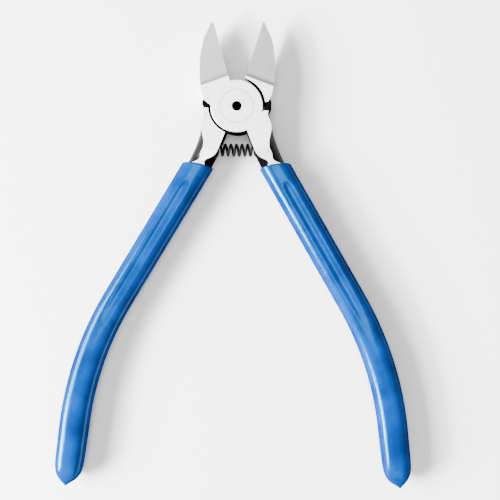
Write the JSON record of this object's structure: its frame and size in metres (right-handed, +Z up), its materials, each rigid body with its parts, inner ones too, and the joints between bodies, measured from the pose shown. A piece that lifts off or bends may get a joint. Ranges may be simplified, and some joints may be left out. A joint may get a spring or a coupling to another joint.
{
  "type": "flush cut pliers",
  "caption": "Lap-jointed side cutting pliers with flush ground blades, dipped grips and a return spring between the shanks.",
  "frame": {"origin": "on the pivot axis, in the plane of the head's underside, on which the pliers lie flat", "axes": "+Y from the pivot towards the blade tips, halfway between the open jaws, +Z up along the pivot to the flush ground face, +X to the right seen from above"},
  "size_m": [0.111, 0.1458, 0.009],
  "materials": {
    "steel": "ground and satin faces, dark scale on the forged sides",
    "rivet_steel": "turned and ground flush",
    "spring_steel": "dark drawn wire",
    "grip_vinyl": "glossy dipped vinyl"
  },
  "bodies": {
    "upper": {"upper_half": "steel", "right_grip": "grip_vinyl", "pivot_rivet": "rivet_steel", "return_spring": "spring_steel"},
    "lower": {"lower_half": "steel", "left_grip": "grip_vinyl"}
  },
  "joints": [
    {"name": "jaw_close", "type": "hinge", "parent": "upper", "child": "lower", "pos_m": [0, 0, 0.0045], "axis": [0, 0, 1], "range_deg": [0, 32.4], "stiffness_Nm_per_rad": 0.8, "springref_deg": -5.16, "deforming": ["return_spring"]}
  ]
}
